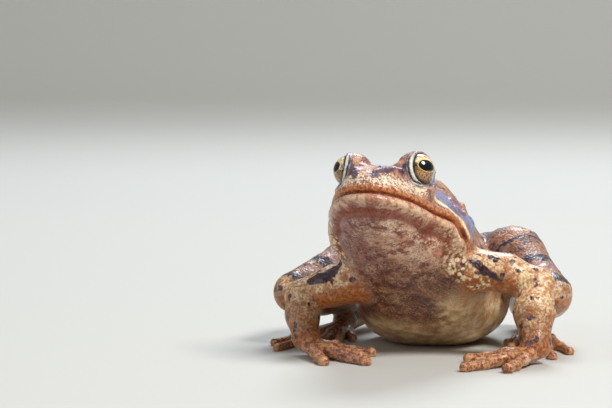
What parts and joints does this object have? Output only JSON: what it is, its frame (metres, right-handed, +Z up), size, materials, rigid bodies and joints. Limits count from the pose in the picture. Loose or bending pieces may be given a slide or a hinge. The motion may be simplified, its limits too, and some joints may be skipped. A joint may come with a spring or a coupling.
{
  "type": "common frog model",
  "caption": "Life-size model of a common frog sitting on its haunches, head raised and turned a little, front feet turned inward.",
  "frame": {"origin": "on the floor, under the middle of the flat on which the belly rests", "axes": "+Z up, the frog faces -Y, its left side is +X"},
  "size_m": [0.0571, 0.0692, 0.0388],
  "materials": {
    "skin_back": "moist, smooth, low warts",
    "skin_throat": "moist, finely wrinkled, speckled",
    "skin_legs": "moist, barred and spotted",
    "eye": "wet, polished"
  },
  "bodies": {
    "root": {"head": "skin_back", "jaw": "skin_throat", "eye_left": "eye", "eye_right": "eye", "eardrum_left": "skin_back", "eardrum_right": "skin_back", "trunk": "skin_back", "upper_arm_left": "skin_legs", "upper_arm_right": "skin_legs", "forearm_left": "skin_legs", "forearm_right": "skin_legs", "hand_left": "skin_legs", "hand_right": "skin_legs", "thigh_left": "skin_legs", "thigh_right": "skin_legs", "shank_left": "skin_legs", "shank_right": "skin_legs", "foot_left": "skin_legs", "foot_right": "skin_legs"}
  },
  "joints": []
}
